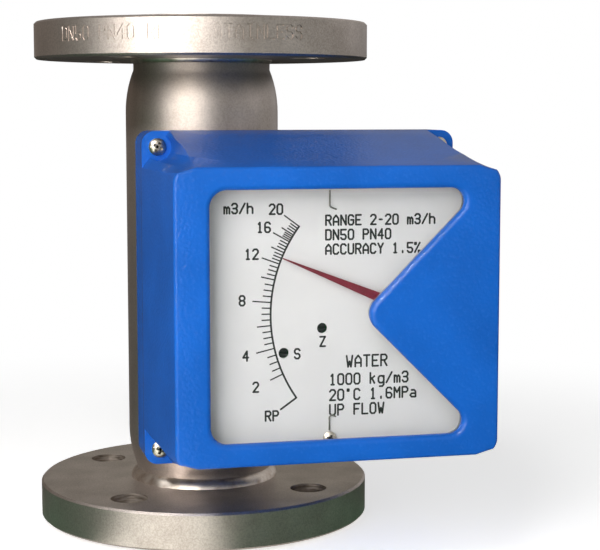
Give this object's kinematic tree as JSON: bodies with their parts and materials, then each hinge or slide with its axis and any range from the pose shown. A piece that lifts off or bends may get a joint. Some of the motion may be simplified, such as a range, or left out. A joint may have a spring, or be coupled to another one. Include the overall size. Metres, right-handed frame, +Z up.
{
  "type": "metal tube rotameter",
  "caption": "Vertical metal tube flow meter with flanged ends, an inner float and a side-mounted blue indicator box whose pointer follows the float.",
  "frame": {"origin": "centre of the lower flange's sealing face, on the tube's axis", "axes": "+Z up along the tube in the direction of flow, the dial faces -Y, +X to the right of someone reading the dial"},
  "size_m": [0.2087, 0.219, 0.25],
  "materials": {
    "stainless": "bead blasted and brushed stainless steel",
    "weld_steel": "brushed fillet weld",
    "spring_steel": "drawn spring steel",
    "blue_enamel": "stoved blue enamel on die-cast aluminium",
    "bright_steel": "nickel plated steel",
    "seal_rubber": "moulded black rubber",
    "window_glass": "clear float glass",
    "zinc_sheet": "zinc plated sheet steel",
    "dial_white": "matt white coated sheet with black print",
    "pointer_red": "crimson lacquered aluminium",
    "aluminium": "rolled aluminium sheet",
    "brass": "turned brass",
    "magnet": "ground magnet alloy",
    "slide_plastic": "turned white fluoropolymer",
    "board_green": "green coated glass-fibre laminate",
    "black_plastic": "moulded black plastic",
    "nickel_brass": "nickel plated brass"
  },
  "bodies": {
    "root": {"lower_flange": "stainless", "upper_flange": "stainless", "measuring_tube": "stainless", "metering_cone": "stainless", "lower_guide": "stainless", "upper_guide": "stainless", "guide_rod": "stainless", "saddle_bracket": "stainless", "lower_weld": "weld_steel", "upper_weld": "weld_steel", "guide_clips": "spring_steel", "upper_wire_hook": "spring_steel", "lower_wire_hook": "spring_steel", "cover": "blue_enamel", "housing_base": "blue_enamel", "cover_screws": "bright_steel", "bracket_screws": "bright_steel", "retainer_screws": "bright_steel", "dial_screws": "bright_steel", "plate_screws": "bright_steel", "board_screws": "bright_steel", "earth_screw": "bright_steel", "base_gasket": "seal_rubber", "window_seal": "seal_rubber", "gland_seal": "seal_rubber", "window_glass": "window_glass", "glass_retainer": "zinc_sheet", "brake_yoke": "zinc_sheet", "dial_plate": "dial_white", "movement_plate": "aluminium", "dial_posts": "brass", "board_posts": "brass", "rear_bearing": "brass", "front_bearing": "brass", "brake_magnets": "magnet", "lower_stop": "slide_plastic", "upper_stop": "slide_plastic", "circuit_board": "board_green", "trimmers": "black_plastic", "angle_sensor": "black_plastic", "terminal_block": "black_plastic", "gland_blank": "black_plastic", "gland_body": "nickel_brass", "gland_nut": "nickel_brass"},
    "float": {"float_body": "stainless", "float_magnet": "magnet", "float_cap": "stainless", "float_lower_bush": "slide_plastic", "float_upper_bush": "slide_plastic"},
    "pointer_assembly": {"follower_shaft": "spring_steel", "follower_arm": "aluminium", "follower_magnet": "magnet", "counterweight": "brass", "arm_hub": "brass", "brake_disc": "aluminium", "sensor_magnet": "magnet", "pointer": "pointer_red", "pointer_hub": "brass"},
    "zero_trim": {"zero_trim_shaft": "black_plastic"},
    "span_trim": {"span_trim_shaft": "black_plastic"}
  },
  "joints": [
    {"name": "float_slide", "type": "slide", "parent": "root", "child": "float", "axis": [0, 0, 1], "range_m": [-0.0678, 0.0163]},
    {"name": "pointer_turn", "type": "hinge", "parent": "root", "child": "pointer_assembly", "pos_m": [0.0722, -0.052, 0.1174], "axis": [0, 1, 0], "range_deg": [-57.8, 14]},
    {"name": "zero_trim_turn", "type": "hinge", "parent": "root", "child": "zero_trim", "pos_m": [0.031, -0.11, 0.1111], "axis": [0, -1, 0], "range_deg": [-135, 135]},
    {"name": "span_trim_turn", "type": "hinge", "parent": "root", "child": "span_trim", "pos_m": [0.0138, -0.11, 0.1007], "axis": [0, -1, 0], "range_deg": [-135, 135]}
  ],
  "couplings": [
    {"joint": "pointer_turn", "follows": "float_slide", "rad_per_m": 14.837}
  ]
}
